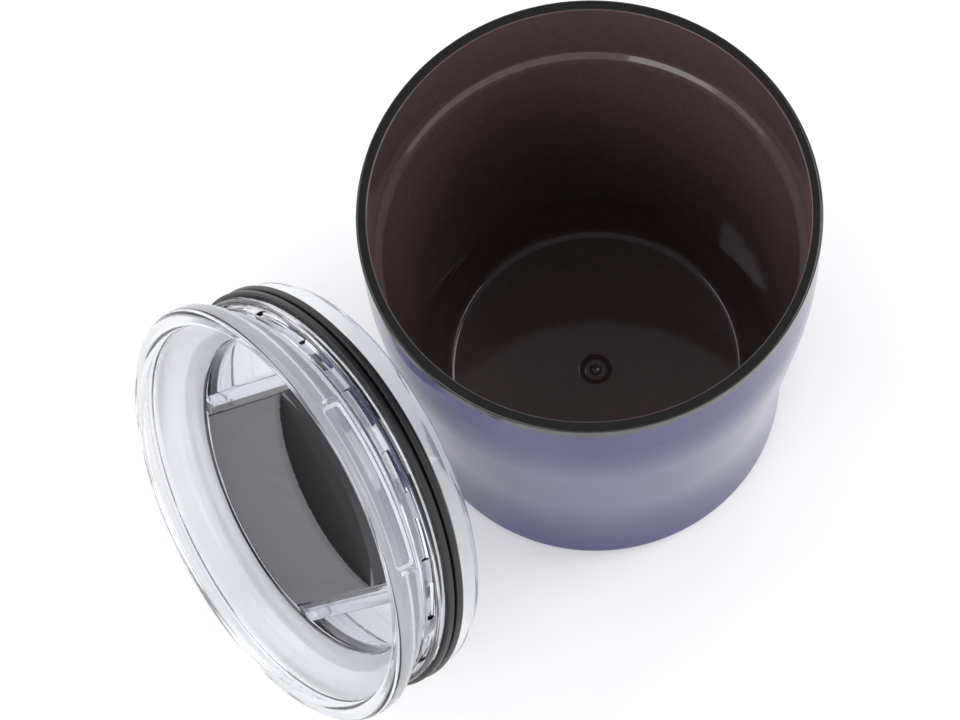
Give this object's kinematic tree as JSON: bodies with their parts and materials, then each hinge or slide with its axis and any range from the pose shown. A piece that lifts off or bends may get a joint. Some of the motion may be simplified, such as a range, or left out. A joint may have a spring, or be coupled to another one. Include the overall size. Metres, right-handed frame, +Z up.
{
  "type": "insulated drinks tumbler",
  "caption": "Short tapered metal drinks tumbler with a dark plastic liner, and its clear press-in slider lid leaning against its side.",
  "frame": {"origin": "centre of the cup's base, on the surface it stands on", "axes": "+Z up the cup's axis; the lid leans on the cup's -X side, with its own axis in the XZ plane"},
  "size_m": [0.1347, 0.088, 0.09],
  "materials": {
    "purple_metal": "satin metallic lacquer",
    "dark_plastic": "glossy injection-moulded",
    "clear_plastic": "clear and glossy",
    "black_rubber": "satin silicone",
    "grey_plastic": "fine satin"
  },
  "bodies": {
    "cup": {"outer_shell": "purple_metal", "liner": "dark_plastic", "base_pad": "black_rubber"},
    "lid": {"lid_bowl": "clear_plastic", "plug_ring": "clear_plastic", "gasket": "black_rubber", "rail_left": "clear_plastic", "rail_right": "clear_plastic"},
    "slider": {"slider_panel": "grey_plastic", "slider_seal": "black_rubber"}
  },
  "joints": [
    {"name": "lid_lift", "type": "slide", "parent": "cup", "child": "lid", "axis": [0, 0, 1], "range_m": [0, 0.12]},
    {"name": "slider_slide", "type": "slide", "parent": "lid", "child": "slider", "axis": [0.2839, -0.4274, 0.8584], "range_m": [0, 0.009]}
  ]
}
